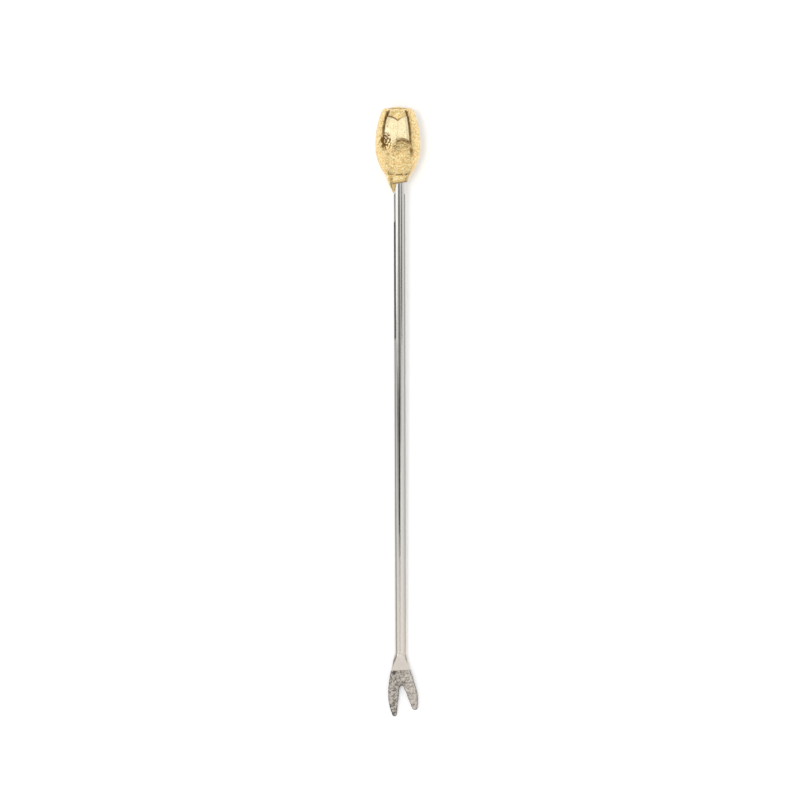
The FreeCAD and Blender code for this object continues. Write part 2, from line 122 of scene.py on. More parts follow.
def linear(code):
    """An sRGB hex colour as the linear colour that Blender takes."""
    shares = [int(code[at : at + 2], 16) / 255 for at in (1, 3, 5)]
    straight = [s / 12.92 if s <= 0.04045 else ((s + 0.055) / 1.055) ** 2.4 for s in shares]
    return (*straight, 1.0)


def add(tree, kind, inputs, **settings):
    """Adds a node with its settings, and sets or links each of its inputs."""
    node = tree.nodes.new(kind)
    for name, setting in settings.items():
        setattr(node, name, setting)
    for name, source in inputs.items():
        if isinstance(source, bpy.types.NodeSocket):
            tree.links.new(source, node.inputs[name])
        else:
            node.inputs[name].default_value = source
    return node


def new_material(name):
    """An empty node material, and its tree."""
    material = bpy.data.materials.new(name)
    material.use_nodes = True
    material.node_tree.nodes.clear()
    return material, material.node_tree


rises = np.linspace(STEM_START, STEM_TOP, STEM_ROWS)
turns = np.linspace(0, 2 * math.pi, STEM_COLUMNS, endpoint=False)
rise, turn = np.meshgrid(rises, turns, indexing="ij")
on_stem = np.stack((STEM_RADIUS * np.sin(turn), rise, STEM_RADIUS * np.cos(turn)), axis=-1)
wave = lumps(on_stem * (1, STEM_WAVE_STRETCH, 1), STEM_WAVE_WIDTH, 1)
radius = STEM_RADIUS - STEM_WAVE_DEPTH * wave
on_stem = np.stack((radius * np.sin(turn), rise, radius * np.cos(turn)), axis=-1)
satin = np.clip((SATIN_END - rise) / (SATIN_END - SATIN_START), 0, 1)
drawn_stem = skin_mesh("drawn_stem", on_stem, {"satin": satin})

# Stainless steel, drawn and polished: nearly a mirror at the bud, where the studio shows
# in it as long stripes, and duller towards the fork, where the heat and files went. Its
# draw marks are 0.22 mm apart here, coarser than the real ones, so that they show.
BRIGHT_STEEL = "#D3D1CC"
SATIN_STEEL = "#DED6CC"
BRIGHT_ROUGHNESS = 0.07
SATIN_ROUGHNESS = 0.2
DRAW_MARK = 0.22
DRAW_MARK_STRETCH = 0.04
DRAW_MARK_DEPTH = 0.02

polished_steel, tree = new_material("drawn stainless steel, polished")
dulled = add(tree, "ShaderNodeAttribute", {}, attribute_name="satin")
place = add(tree, "ShaderNodeTexCoord", {})
along = add(
    tree,
    "ShaderNodeMapping",
    {"Vector": place.outputs["Object"], "Scale": (1, DRAW_MARK_STRETCH, 1)},
)
marks = add(
    tree,
    "ShaderNodeTexNoise",
    {"Vector": along.outputs[0], "Scale": 1000 / DRAW_MARK, "Detail": 3.0, "Roughness": 0.6},
)
gloss = add(
    tree,
    "ShaderNodeMapRange",
    {"Value": dulled.outputs["Fac"], "To Min": BRIGHT_ROUGHNESS, "To Max": SATIN_ROUGHNESS},
)
tone = add(
    tree,
    "ShaderNodeMix",
    {"Factor": dulled.outputs["Fac"], "A": linear(BRIGHT_STEEL), "B": linear(SATIN_STEEL)},
    data_type="RGBA",
)
fine = add(
    tree,
    "ShaderNodeBump",
    {"Height": marks.outputs["Fac"], "Strength": 0.12, "Distance": DRAW_MARK_DEPTH / 1000},
)
surface = add(
    tree,
    "ShaderNodeBsdfPrincipled",
    {"Base Color": tone.outputs["Result"], "Metallic": 1.0,
     "Roughness": gloss.outputs["Result"], "Normal": fine.outputs["Normal"]},
)
add(tree, "ShaderNodeOutputMaterial", {"Surface": surface.outputs["BSDF"]})
drawn_stem.data.materials.append(polished_steel)
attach(drawn_stem, "root")
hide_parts("fork_stem")

# Forged fork. The same bar, forged flat, split into two uneven prongs, hammered and
# rounded. Its fan is filed smooth to a satin, and below a slanted edge it stays pitted.
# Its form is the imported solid's own, cut off inside the stem, and then hammered here.
FORK_VOXEL = 0.07
FORK_BURIED = 17.5
FAN_START = 14.6
BAR_BLEND = 1.2
FAN_END = 11.6
FAN_END_SLANT = 0.07
FAN_END_RAGGED = 0.25
FAN_END_RAG_WIDTH = 0.6
FAN_END_FADE = 0.15
HAMMERED_SINK = 0.03
DENT_DEPTH = 0.10
DENT_WIDTH = 0.95
PIT_DEPTH = 0.11
PIT_WIDTH = 0.34
PIT_RIM = 0.35
PIT_WALL = 0.4
GRIT_DEPTH = 0.03
FILED_DEPTH = 0.012
FILED_WIDTH = 0.8
SMOOTH_TIP = 0.8
FLANK_SWELL = 0.15
PRONGS_ACROSS = 3.0
# Where the dark scale and the painted shade lie, as middles and widths, and how dark
# they are, from 0 to 1.
FAN_SIDE_RISE = (13.9, 1.3)
FAN_SIDE_LEVEL = 0.9
FAN_SIDE_FADE = 0.3
FLANK_LEVEL = 0.95
FLANK_FADE = 0.5
STEP_DROP = 0.45
STEP_WIDTH = 0.5
CROTCH_ACROSS = (0.25, 0.9)
CROTCH_RISE = (8.2, 0.6)
SKIN_DARK = 0.14
PIT_DARK = 0.62
GRIT_DARK = 0.2
STEP_DARK = 0.35
FLANK_SHADE = 0.7
CROTCH_SHADE = 0.5
FAN_SIDE_SHADE = 0.8


def bump(value, middle, width):
    """1 at the middle, fading to nothing a few widths away."""
    return np.exp(-(((value - middle) / width) ** 2))


fork_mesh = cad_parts["fork_stem"].data.copy()
points = np.empty(len(fork_mesh.vertices) * 3)
fork_mesh.vertices.foreach_get("co", points)
points = points.reshape(-1, 3) * 1000 - np.array(STEM_MIDDLE)
cos_tilt, sin_tilt = math.cos(STEM_TILT), math.sin(STEM_TILT)
upright = np.stack(
    (points[:, 0],
     points[:, 1] * cos_tilt + points[:, 2] * sin_tilt + PICK_LENGTH / 2,
     points[:, 2] * cos_tilt - points[:, 1] * sin_tilt),
    axis=-1,
)
fork_mesh.vertices.foreach_set("co", upright.ravel())
cutting = bmesh.new()
cutting.from_mesh(fork_mesh)
bmesh.ops.remove_doubles(cutting, verts=cutting.verts, dist=1e-5)
cut = bmesh.ops.bisect_plane(
    cutting,
    geom=cutting.verts[:] + cutting.edges[:] + cutting.faces[:],
    plane_co=(0, FORK_BURIED, 0),
    plane_no=(0, 1, 0),
    clear_outer=True,
)
rim = [part for part in cut["geom_cut"] if isinstance(part, bmesh.types.BMEdge)]
bmesh.ops.holes_fill(cutting, edges=rim)
bmesh.ops.triangulate(cutting, faces=cutting.faces[:])
cutting.to_mesh(fork_mesh)
cutting.free()
forged_fork = bpy.data.objects.new("forged_fork", fork_mesh)
bpy.context.scene.collection.objects.link(forged_fork)
remesh = forged_fork.modifiers.new("even_mesh", "REMESH")
remesh.mode = "VOXEL"
remesh.voxel_size = FORK_VOXEL
remesh.use_smooth_shade = True
settle = forged_fork.modifiers.new("settle", "SMOOTH")
settle.factor = 0.5
settle.iterations = 3
bpy.context.view_layer.update()
shown = forged_fork.evaluated_get(bpy.context.evaluated_depsgraph_get())
even_mesh = bpy.data.meshes.new_from_object(shown)
forged_fork.modifiers.clear()
forged_fork.data = even_mesh

# The dents and pits sink the skin, most on the left prong, and the flanks swell, all but
# at the two smooth tips. Each point keeps how hammered it is, how dark it is with scale and
# painted shade, and how far the satin fan has run out into the bar. It is dark with scale in
# the pits, darker in a band at the step below the fan, and painted with shade on the flanks
# and the fan's left side, where they turn away from the top, and in the crotch.
points = np.empty(len(even_mesh.vertices) * 3)
even_mesh.vertices.foreach_get("co", points)
points = points.reshape(-1, 3)
outward = np.empty(len(even_mesh.vertices) * 3)
even_mesh.vertices.foreach_get("normal", outward)
outward = outward.reshape(-1, 3)
across, rise = points[:, 0], points[:, 1]
fan_end = FAN_END + FAN_END_SLANT * across
fan_end += FAN_END_RAGGED * (lumps(points, FAN_END_RAG_WIDTH, 14) - 0.5)
hammered = np.clip((fan_end - rise) / FAN_END_FADE + 0.5, 0, 1)
left_share = np.clip(0.5 - across / PRONGS_ACROSS, 0, 1)
dents = lumps(points, DENT_WIDTH, 2)
pits = np.clip((lumps(points, PIT_WIDTH, 3) - PIT_RIM) / PIT_WALL, 0, 1)
grit = lumps(points, PIT_WIDTH / 2, 15)
depth = hammered * (HAMMERED_SINK + DENT_DEPTH * dents**1.5)
depth += hammered * (0.5 + 0.5 * left_share) * (PIT_DEPTH * pits + GRIT_DEPTH * grit)
depth += (1 - hammered) * FILED_DEPTH * lumps(points, FILED_WIDTH, 4)
tip_share = np.clip(1 - rise / SMOOTH_TIP, 0, 1)
depth *= 1 - tip_share
depth -= FLANK_SWELL * hammered * np.abs(outward[:, 0]) * (1 - tip_share)
# Painted shade: the flanks and the fan's left side darken where they turn away from the top, and
# the crotch darkens in its hollow.
level = np.abs(outward[:, 2])
flank_shade = np.clip((FLANK_LEVEL - level) / FLANK_FADE, 0, 1)
fan_side_shade = np.clip((FAN_SIDE_LEVEL - level) / FAN_SIDE_FADE, 0, 1)
fan_side_shade = fan_side_shade * (across < 0) * bump(rise, *FAN_SIDE_RISE)
step = bump(rise, fan_end - STEP_DROP, STEP_WIDTH)
crotch_shade = bump(across, *CROTCH_ACROSS) * bump(rise, *CROTCH_RISE)
scale_and_shade = SKIN_DARK + PIT_DARK * pits + GRIT_DARK * (grit - 0.3)
scale_and_shade *= 0.5 + 0.52 * left_share
scale_and_shade += STEP_DARK * step * (0.4 + 0.6 * left_share)
scale_and_shade += FLANK_SHADE * flank_shade + CROTCH_SHADE * crotch_shade
scale_and_shade = hammered * scale_and_shade + (1 - hammered) * FAN_SIDE_SHADE * fan_side_shade
scale_and_shade = np.clip(scale_and_shade, 0, 1)
round_bar = np.clip((rise - FAN_START) / BAR_BLEND, 0, 1)
points -= outward * depth[:, None]
even_mesh.vertices.foreach_set("co", lay_down(points).ravel())
keep_finish(even_mesh, {"hammered": hammered, "tarnish_and_painted_shade": scale_and_shade, "satin": round_bar})
even_mesh.shade_smooth()

# The same steel with two skins: the fan is filed to a warm satin, and the prongs keep
# the stippled skin of the hammer, bright on its bumps and dark grey in its pits. Its
# mottles are 0.6 mm wide here, coarser than the real stipple, so that they show.
FILED_STEEL = ("#C4BBB0", "#DCD5CC")
DARK_SCALE_AND_SHADE = "#57534D"
FILED_ROUGHNESS = 0.22
HAMMERED_ROUGHNESS = 0.2
MOTTLE = 0.6
MOTTLE_DEPTH = 0.03

forged_steel, tree = new_material("forged stainless steel, satin and hammered")
hammering = add(tree, "ShaderNodeAttribute", {}, attribute_name="hammered")
scale_and_shade_share = add(tree, "ShaderNodeAttribute", {}, attribute_name="tarnish_and_painted_shade")
on_bar = add(tree, "ShaderNodeAttribute", {}, attribute_name="satin")
place = add(tree, "ShaderNodeTexCoord", {})
mottles = add(
    tree,
    "ShaderNodeTexNoise",
    {"Vector": place.outputs["Object"], "Scale": 1000 / MOTTLE, "Detail": 3.0,
     "Roughness": 0.6},
)
filed = add(
    tree,
    "ShaderNodeMix",
    {"Factor": mottles.outputs["Fac"], "A": linear(FILED_STEEL[0]),
     "B": linear(FILED_STEEL[1])},
    data_type="RGBA",
)
joined = add(
    tree,
    "ShaderNodeMix",
    {"Factor": on_bar.outputs["Fac"], "A": filed.outputs["Result"], "B": linear(SATIN_STEEL)},
    data_type="RGBA",
)
# The dark grey is scale in the pits, and painted shade on the flanks, in the crotch and on the
# fan's left side.
tone = add(
    tree,
    "ShaderNodeMix",
    {"Factor": scale_and_shade_share.outputs["Fac"], "A": joined.outputs["Result"],
     "B": linear(DARK_SCALE_AND_SHADE)},
    data_type="RGBA",
)
gloss = add(
    tree,
    "ShaderNodeMapRange",
    {"Value": hammering.outputs["Fac"], "To Min": FILED_ROUGHNESS,
     "To Max": HAMMERED_ROUGHNESS},
)
fine = add(
    tree,
    "ShaderNodeBump",
    {"Height": mottles.outputs["Fac"], "Strength": 0.3, "Distance": MOTTLE_DEPTH / 1000},
)
surface = add(
    tree,
    "ShaderNodeBsdfPrincipled",
    {"Base Color": tone.outputs["Result"], "Metallic": 1.0,
     "Roughness": gloss.outputs["Result"], "Normal": fine.outputs["Normal"]},
)
add(tree, "ShaderNodeOutputMaterial", {"Surface": surface.outputs["BSDF"]})
even_mesh.materials.clear()
even_mesh.materials.append(forged_steel)
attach(forged_fork, "root")
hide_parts("fork_stem")

# Petalled bud. One solid brass casting, gold plated: three tall petals with three short
# notched ones between them, over a small dome. Its creases are painted dark. It is drawn
# from its own axis and down from its crown, in mm.
BUD_AXIS = -0.33
CROWN_RADIUS = 2.4
CROWN_SAG = 0.6
SHOULDER_DROP = 2.1
SHOULDER_RADIUS = 2.0
SHOULDER_ANGLE = math.radians(21)
CREASE_DEPTH = 0.5
SET_BACK = 0.2
BELLY = (5.75, -9.4)
NECK = (3.2, -17.1)
CREASE_END = (5.36, -13.5)
CREASE_ARC = 25.0
INNER_END = (5.44, -13.0)
INNER_ARC = 23.6
INNER_HALF_SPAN = math.radians(34)
CREASE_HALF_WIDTH = 0.29
TARNISH_HALF_WIDTH = 0.36
TARNISH_END = -9.6
CROWN_EDGE = 0.5
INNER_LOBE = (2.875, -2.3)
INNER_NOTCH = (0.0, -3.5)
INNER_LOBE_RADIUS = 4.5
OUTER_TIP_DROP = 0.25
OUTER_TIP_FALL = 0.9
OUTER_TIP_HALF = 1.5
OUTER_SIDE_FALL = 1.35
PETAL_EDGE_ROUND = 0.07
PETAL_EDGE_REACH = 0.45
LEFT_CREASE = math.radians(-40)
LEFT_CREASE_SPAN = math.radians(22)
CREASE_WANDER = math.radians(5.5)
RAGGED_DEPTH = 0.06
RAGGED_WIDTH = 0.5
SEAM_LIP = 0.17
SEAM_DEPTH = 0.07
SEAM_STAND = 0.02
SEAM_SHARES = (0.3, 0.65, 1.0)
SEAM_DARK_ACROSS = (0.8, 1.3)
CAST_GRAIN = 0.3
CAST_DEPTH = 0.06
DOME_ROWS = 20
WALL_ROWS = 4
SHOULDER_ROWS = 28
SIDE_ROWS = 150
BUD_COLUMNS = 470


def shoulder_point(radius):
    """Where a shoulder rounding of this radius meets the side of the bud."""
    return (
        CROWN_RADIUS + radius * math.cos(SHOULDER_ANGLE),
        -SHOULDER_DROP + radius * math.sin(SHOULDER_ANGLE),
    )


def upright_radius(point, widest):
    """Radius of the arc from a point to the widest one, where it stands upright."""
    across = widest[0] - point[0]
    down = widest[1] - point[1]
    return (across**2 + down**2) / (2 * abs(across))


def bowed(y, start, end, radius):
    """Distance from the axis, and slope, of an arc between two points that bows out."""
    across, down = end[0] - start[0], end[1] - start[1]
    chord = math.hypot(across, down)
    reach = math.sqrt(radius**2 - chord**2 / 4)
    centre_x = (start[0] + end[0]) / 2 + reach * down / chord
    centre_y = (start[1] + end[1]) / 2 - reach * across / chord
    slope = np.clip((y - centre_y) / radius, -1, 1)
    return centre_x + radius * np.sqrt(1 - slope**2), slope


def soft_step(value, width):
    """From 0 to 1 across an edge at 0, over a width in millimetres."""
    share = np.clip(value / width + 0.5, 0, 1)
    return share * share * (3 - 2 * share)


# Rows down the bud: its radius, its height, its slope, and how deep the creases' floor
# and the short petals lie under it.
top_of_side = shoulder_point(SHOULDER_RADIUS)
crease_start = shoulder_point(SHOULDER_RADIUS - CREASE_DEPTH)
inner_start = shoulder_point(SHOULDER_RADIUS - SET_BACK)
meridian = []
dome_radius = (CROWN_RADIUS**2 + CROWN_SAG**2) / (2 * CROWN_SAG)
for r in np.linspace(0, CROWN_RADIUS, DOME_ROWS):
    sag = dome_radius - math.sqrt(dome_radius**2 - r**2)
    meridian.append((r, -sag, math.pi / 2, 0, 0))
wall_rows = range(len(meridian), len(meridian) + WALL_ROWS)
meridian += [(CROWN_RADIUS, -CROWN_SAG, math.pi / 2, 0, 0)] * WALL_ROWS
for slope in np.linspace(math.pi / 2, SHOULDER_ANGLE, SHOULDER_ROWS):
    meridian.append((
        CROWN_RADIUS + SHOULDER_RADIUS * math.cos(slope),
        -SHOULDER_DROP + SHOULDER_RADIUS * math.sin(slope),
        slope, CREASE_DEPTH, SET_BACK,
    ))
upper_radius = upright_radius(top_of_side, BELLY)
lower_radius = upright_radius(NECK, BELLY)
for y in np.linspace(top_of_side[1], NECK[1] + SEAM_LIP, SIDE_ROWS)[1:]:
    if y > BELLY[1]:
        r, slope = bowed(y, top_of_side, BELLY, upper_radius)
    else:
        r, slope = bowed(y, BELLY, NECK, lower_radius)
    level = math.sqrt(1 - slope**2)
    crease = (r - bowed(y, crease_start, CREASE_END, CREASE_ARC)[0]) * level
    inner = (r - bowed(y, inner_start, INNER_END, INNER_ARC)[0]) * level
    meridian.append((r, y, math.asin(slope), max(crease, 0), max(inner, 0)))
for share in SEAM_SHARES:
    r = NECK[0] + SEAM_STAND - SEAM_DEPTH * share
    meridian.append((r, NECK[1] + SEAM_LIP * (1 - share), 0, 0, 0))
r, y, slope, crease_floor, inner_floor = (column[:, None] for column in np.array(meridian).T)
turn = np.linspace(-math.pi, math.pi, BUD_COLUMNS, endpoint=False)[None, :]

# The nearest short petal faces 0, 120 or 240 degrees and the nearest tall one 60, 180
# or 300. Each petal's top edge is drawn on a plane that it faces. The hand-cut left
# crease of the front petal wanders outwards.
wander = CREASE_WANDER * (1 + 0.7 * bump(y, -5.0, 2.5))
cut_turn = turn + wander * bump(turn, LEFT_CREASE, LEFT_CREASE_SPAN)
third = 2 * math.pi / 3
from_inner = (cut_turn + third / 2) % third - third / 2
from_outer = cut_turn % third - third / 2
to_crease = (INNER_HALF_SPAN - np.abs(from_inner)) * np.maximum(r, 0.3)
across_inner = np.abs(r * np.sin(from_inner))
across_outer = np.abs(r * np.sin(from_outer))
lobe_run = math.hypot(INNER_LOBE[0], INNER_LOBE[1] - INNER_NOTCH[1])
lobe_reach = math.sqrt(INNER_LOBE_RADIUS**2 - lobe_run**2 / 4)
lobe_x = INNER_LOBE[0] / 2 + lobe_reach * (INNER_LOBE[1] - INNER_NOTCH[1]) / lobe_run
lobe_y = (INNER_LOBE[1] + INNER_NOTCH[1]) / 2 - lobe_reach * INNER_LOBE[0] / lobe_run
inner_edge = lobe_y + np.sqrt(INNER_LOBE_RADIUS**2 - (across_inner - lobe_x) ** 2)
corner_drop = OUTER_TIP_DROP + OUTER_TIP_FALL
outer_edge = np.where(
    across_outer < OUTER_TIP_HALF,
    -OUTER_TIP_DROP - OUTER_TIP_FALL * (across_outer / OUTER_TIP_HALF) ** 2,
    -corner_drop - OUTER_SIDE_FALL * (across_outer - OUTER_TIP_HALF),
)
ring = np.stack((r * np.sin(turn), y + 0 * turn, r * np.cos(turn)), axis=-1)
ragged = RAGGED_DEPTH * (lumps(ring, RAGGED_WIDTH, 7) - 0.5)
crease = soft_step(CREASE_HALF_WIDTH + ragged - np.abs(to_crease), 0.16)
inner_span = soft_step(to_crease, 0.1)
above_inner = soft_step(y - inner_edge + ragged, 0.14) * inner_span
above_outer = soft_step(y - outer_edge, 0.2) * (1 - inner_span)
floor_share = np.maximum.reduce([crease, above_inner, above_outer])
petal_depth = inner_floor * inner_span
fade = np.exp(-np.abs(to_crease) / PETAL_EDGE_REACH)
rounding = PETAL_EDGE_ROUND * fade * crease_floor / CREASE_DEPTH
depth = np.maximum(floor_share * crease_floor, petal_depth + rounding)
depth = np.minimum(depth, np.maximum(crease_floor, petal_depth))

# The creases are painted dark down to the belly, with a ragged edge that is wider on the
# left, and a dark line lies along the short petals' top edges, darker on the left.
dark_band_edge = 1.5 * ragged + 0.16 * (lumps(ring, 1.1, 16) - 0.5) + 0.06 * (turn < 0)
crease_dark = soft_step(TARNISH_HALF_WIDTH + dark_band_edge - np.abs(to_crease), 0.22)
crease_dark = crease_dark * soft_step(y - TARNISH_END, 1.8)
crease_dark = crease_dark * (0.8 + 0.2 * lumps(ring, 0.4, 17))
left_side = soft_step(0.1 - turn, 0.3)
edge_dark = bump(y, inner_edge + 0.1, 0.18 + 0.08 * left_side) * inner_span
edge_dark = edge_dark * (0.35 + 0.65 * left_side)
below_crown = (y < -CROWN_EDGE) * 1.0

# Marks of the casting on the front, each at its distance across and drop from the crown
# in millimetres: a raised vein down the short petal with a fold on its left, which gets a
# little painted shade, a step at the petal's foot, painted brown there as a dark reflection,
# pits beside its left crease, spots in a row below them, a dent at the right crease's foot,
# file marks, and stray pits all over.
VEIN_TOP = 3.8
VEIN_FOOT = 7.2
VEIN_WIDTH = 0.3
VEIN_HEIGHT = 0.012
FOLD_TOP = 4.2
FOLD_FOOT = 8.2
FOLD_OFFSET = 0.25
FOLD_WIDTH = 0.12
FOLD_DEPTH = 0.02
PETAL_STEP = (0.9, 8.1)
PETAL_STEP_CURVE = 0.16
PETAL_STEP_LEFT = -0.4
PETAL_STEP_RIGHT = 2.85
PETAL_STEP_DEPTH = 0.03
PITTED_ACROSS = (-3.1, 1.45)
PITTED_DROP = (8.6, 2.3)
CAST_PIT_WIDTH = 0.27
CAST_PIT_DEPTH = 0.09
STRAY_PIT_WIDTH = 0.38
STRAY_PIT_DEPTH = 0.03
FOOT_DENT_ACROSS = (3.4, 0.45)
FOOT_DENT_DROP = (11.2, 1.1)
FOOT_DENT_DEPTH = 0.08
FILED_ACROSS = (1.5, 1.0)
FILED_DROP = (11.2, 0.9)
FILE_MARK_DEPTH = 0.004
FILE_STROKE = 0.36
SPOT_DEPTH = 0.06
# Each spot's distance across, drop and size, and how deep and dark it is, from 0 to 1.
FRONT_SPOTS = (
    (-2.4, 11.8, 0.35, 0.7), (-1.15, 12.2, 0.17, 0.9), (-1.05, 13.3, 0.20, 0.9),
    (-1.0, 14.3, 0.16, 0.8), (-1.6, 15.3, 0.20, 0.5), (1.6, 10.0, 0.16, 0.7),
    (1.4, 2.3, 0.25, 0.5), (-0.35, 16.9, 0.18, 0.8), (0.35, 17.0, 0.20, 0.9),
    (0.85, 16.9, 0.24, 0.9), (1.6, 16.95, 0.2, 0.9), (2.2, 16.9, 0.2, 0.9),
)

front = np.cos(turn) > 0
across = ring[..., 0]
drop = -y
vein_line = 0.3 - 0.02 * (drop - 3.5) ** 2
vein = bump(across, vein_line, VEIN_WIDTH)
vein = vein * soft_step(drop - VEIN_TOP, 0.8) * soft_step(VEIN_FOOT - drop, 1.0)
fold = bump(across, vein_line - FOLD_OFFSET, FOLD_WIDTH)
fold = fold * soft_step(drop - FOLD_TOP, 0.8) * soft_step(FOLD_FOOT - drop, 1.0)
pitted = soft_step(bump(across, *PITTED_ACROSS) * bump(drop, *PITTED_DROP) - 0.36, 0.4)
pit_share = soft_step(lumps(ring * (1, 0.8, 1), CAST_PIT_WIDTH, 8) - 0.47, 0.12)
pit = pit_share * pitted
crease_dark = crease_dark * (1 - 0.6 * front * pitted * (1 - pit_share))
spot = np.zeros_like(drop + across)
for spot_x, spot_drop, size, strength in FRONT_SPOTS:
    apart = (across - spot_x) ** 2 + (drop - spot_drop) ** 2
    spot = np.maximum(spot, strength * np.exp(-apart / size**2))
foot_dent = bump(across, *FOOT_DENT_ACROSS) * bump(drop, *FOOT_DENT_DROP)
step_drop = PETAL_STEP[1] + PETAL_STEP_CURVE * (across - PETAL_STEP[0]) ** 2
step_drop = step_drop + 0.2 * (lumps(ring, 0.7, 18) - 0.5)
# The step's band is also painted brown, as a dark reflection.
step_and_painted_reflection = bump(drop, step_drop + 0.4, 0.5) * soft_step(across - PETAL_STEP_LEFT, 0.5)
step_and_painted_reflection = front * step_and_painted_reflection * soft_step(PETAL_STEP_RIGHT - across, 0.4)
stray = soft_step(lumps(ring, STRAY_PIT_WIDTH, 10) - 0.85, 0.1)
filed = bump(across, *FILED_ACROSS) * bump(drop, *FILED_DROP)
file_mark = 0.5 + 0.5 * np.sin(drop * 2 * math.pi / FILE_STROKE + 0.6 * across)
marks = CAST_PIT_DEPTH * pit + SPOT_DEPTH * spot + FOOT_DENT_DEPTH * foot_dent
marks = marks + FILE_MARK_DEPTH * filed * file_mark + VEIN_HEIGHT * (1 - vein)
marks = front * (marks + PETAL_STEP_DEPTH * step_and_painted_reflection + FOLD_DEPTH * fold)

# The tall petals' sides and the bud's foot keep the grain of the mould. The rest of the
# petals' skin is burnished, and the short petals get a painted highlight that pales them
# down to their foot.
side_lobe = soft_step(0.45 - np.abs(from_outer), 0.25)
grain = lumps(ring, CAST_GRAIN, 5) * 0.6 + lumps(ring, CAST_GRAIN * 2.3, 6) * 0.4
petal_skin = soft_step(r - CROWN_RADIUS - 0.6, 0.8)
satin_foot = soft_step(drop - 10.2, 1.0)
rough_share = 0.8 * side_lobe + 0.25 * satin_foot + 0.2 * soft_step(drop - 12, 3.0)
rough_share = np.clip(rough_share, 0, 1)
depth = depth + petal_skin * (CAST_DEPTH * grain * rough_share + marks + STRAY_PIT_DEPTH * stray)
burnished = (1 - 0.9 * side_lobe) * (1 - satin_foot) * petal_skin
# Painted highlight on the short petals, below their top edges.
painted_highlight = inner_span * (1 - above_inner) * soft_step(8.9 - drop, 1.6) * petal_skin
painted_highlight = painted_highlight * (1 - step_and_painted_reflection)

# The wall round the dome and the seam at the foot stay smooth. How dark each mark is
# goes from 0 to 1, and the darkest one counts.
depth[list(wall_rows)] = 0
depth[list(wall_rows)[-1] + 1] *= 0.5
seam_rows = slice(-3, None)
depth[seam_rows] = 0
# Of these, the step at the petal's foot is a painted dark reflection, and the fold's darkness is
# painted shade.
dark_marks_and_painted_shade = np.maximum.reduce([
    0.95 * crease_dark * below_crown,
    0.95 * edge_dark * below_crown * petal_skin,
    0.95 * front * pit, 0.9 * front * spot, 0.85 * front * foot_dent,
    0.4 * stray * petal_skin, 0.78 * step_and_painted_reflection, 0.22 * front * fold,
])
seam_mask = np.where(front, bump(across, *SEAM_DARK_ACROSS), 0.4)
seam_dark = soft_step(lumps(ring, 0.5, 11) - 0.4, 0.2) * soft_step(seam_mask - 0.3, 0.2)
dark_marks_and_painted_shade[seam_rows] = seam_dark[seam_rows]
spread = r - depth * np.cos(slope)
height = y - depth * np.sin(slope)
first_shoulder = wall_rows[-1] + 1
for step, row in enumerate(wall_rows, start=1):
    share = step / (len(wall_rows) + 1)
    height[row] = -CROWN_SAG + (height[first_shoulder] + CROWN_SAG) * share
petals = np.stack(
    (BUD_AXIS + spread * np.sin(turn), PICK_LENGTH + height, spread * np.cos(turn)), axis=-1
)
finish = {"tarnish_and_painted_shade": dark_marks_and_painted_shade[::-1], "burnished": burnished[::-1], "painted_highlight": painted_highlight[::-1]}
petalled_bud = skin_mesh("petalled_bud", petals[::-1], finish)
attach(petalled_bud, "root")
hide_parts("bud_finial")

# Gold plate over cast brass: a warm soft mirror, smoother where it is burnished, paler on
# the short petals, where a highlight is painted, and brown in the creases, pits and spots,
# with painted shade at the collar and on the fold, and a painted dark reflection at the
# short petal's foot. Its grain is 0.42 mm wide here and its clouds 1.6 mm, coarser than the
# real ones, so that they show.
GOLD = ("#D0A454", "#FFF0BC")
WARM_GOLD = "#F0C98C"
HIGHLIGHT_GOLD = "#F4EAC4"
HIGHLIGHT_SHARE = 0.65
BROWN_TARNISH_AND_SHADE = "#643F06"
CAST_ROUGHNESS = 0.30
BURNISHED_ROUGHNESS = 0.09
CAST_BUMP = 0.6
GRAIN = 0.42
GRAIN_DEPTH = 0.04
CLOUD = 1.6

gilt_brass, tree = new_material("gold plated cast brass, burnished")
tarnish_and_painted_shade = add(tree, "ShaderNodeAttribute", {}, attribute_name="tarnish_and_painted_shade")
polish = add(tree, "ShaderNodeAttribute", {}, attribute_name="burnished")
highlight_mask = add(tree, "ShaderNodeAttribute", {}, attribute_name="painted_highlight")
place = add(tree, "ShaderNodeTexCoord", {})
grain_marks = add(
    tree,
    "ShaderNodeTexNoise",
    {"Vector": place.outputs["Object"], "Scale": 1000 / GRAIN, "Detail": 4.0,
     "Roughness": 0.6},
)
clouds = add(
    tree,
    "ShaderNodeTexNoise",
    {"Vector": place.outputs["Object"], "Scale": 1000 / CLOUD, "Detail": 2.0,
     "Roughness": 0.5},
)
grain_share = add(
    tree,
    "ShaderNodeMapRange",
    {"Value": grain_marks.outputs["Fac"], "From Min": 0.36, "From Max": 0.62},
)
tone = add(
    tree,
    "ShaderNodeMix",
    {"Factor": grain_share.outputs["Result"], "A": linear(GOLD[0]), "B": linear(GOLD[1])},
    data_type="RGBA",
)
warm_share = add(
    tree,
    "ShaderNodeMapRange",
    {"Value": clouds.outputs["Fac"], "From Min": 0.4, "From Max": 0.75, "To Max": 0.6},
)
warmed = add(
    tree,
    "ShaderNodeMix",
    {"Factor": warm_share.outputs["Result"], "A": tone.outputs["Result"],
     "B": linear(WARM_GOLD)},
    data_type="RGBA",
)
# Painted highlight: the short petals are paled towards a whitish gold.
highlight_share = add(
    tree, "ShaderNodeMath", {0: highlight_mask.outputs["Fac"], 1: HIGHLIGHT_SHARE}, operation="MULTIPLY"
)
highlighted = add(
    tree,
    "ShaderNodeMix",
    {"Factor": highlight_share.outputs[0], "A": warmed.outputs["Result"], "B": linear(HIGHLIGHT_GOLD)},
    data_type="RGBA",
)
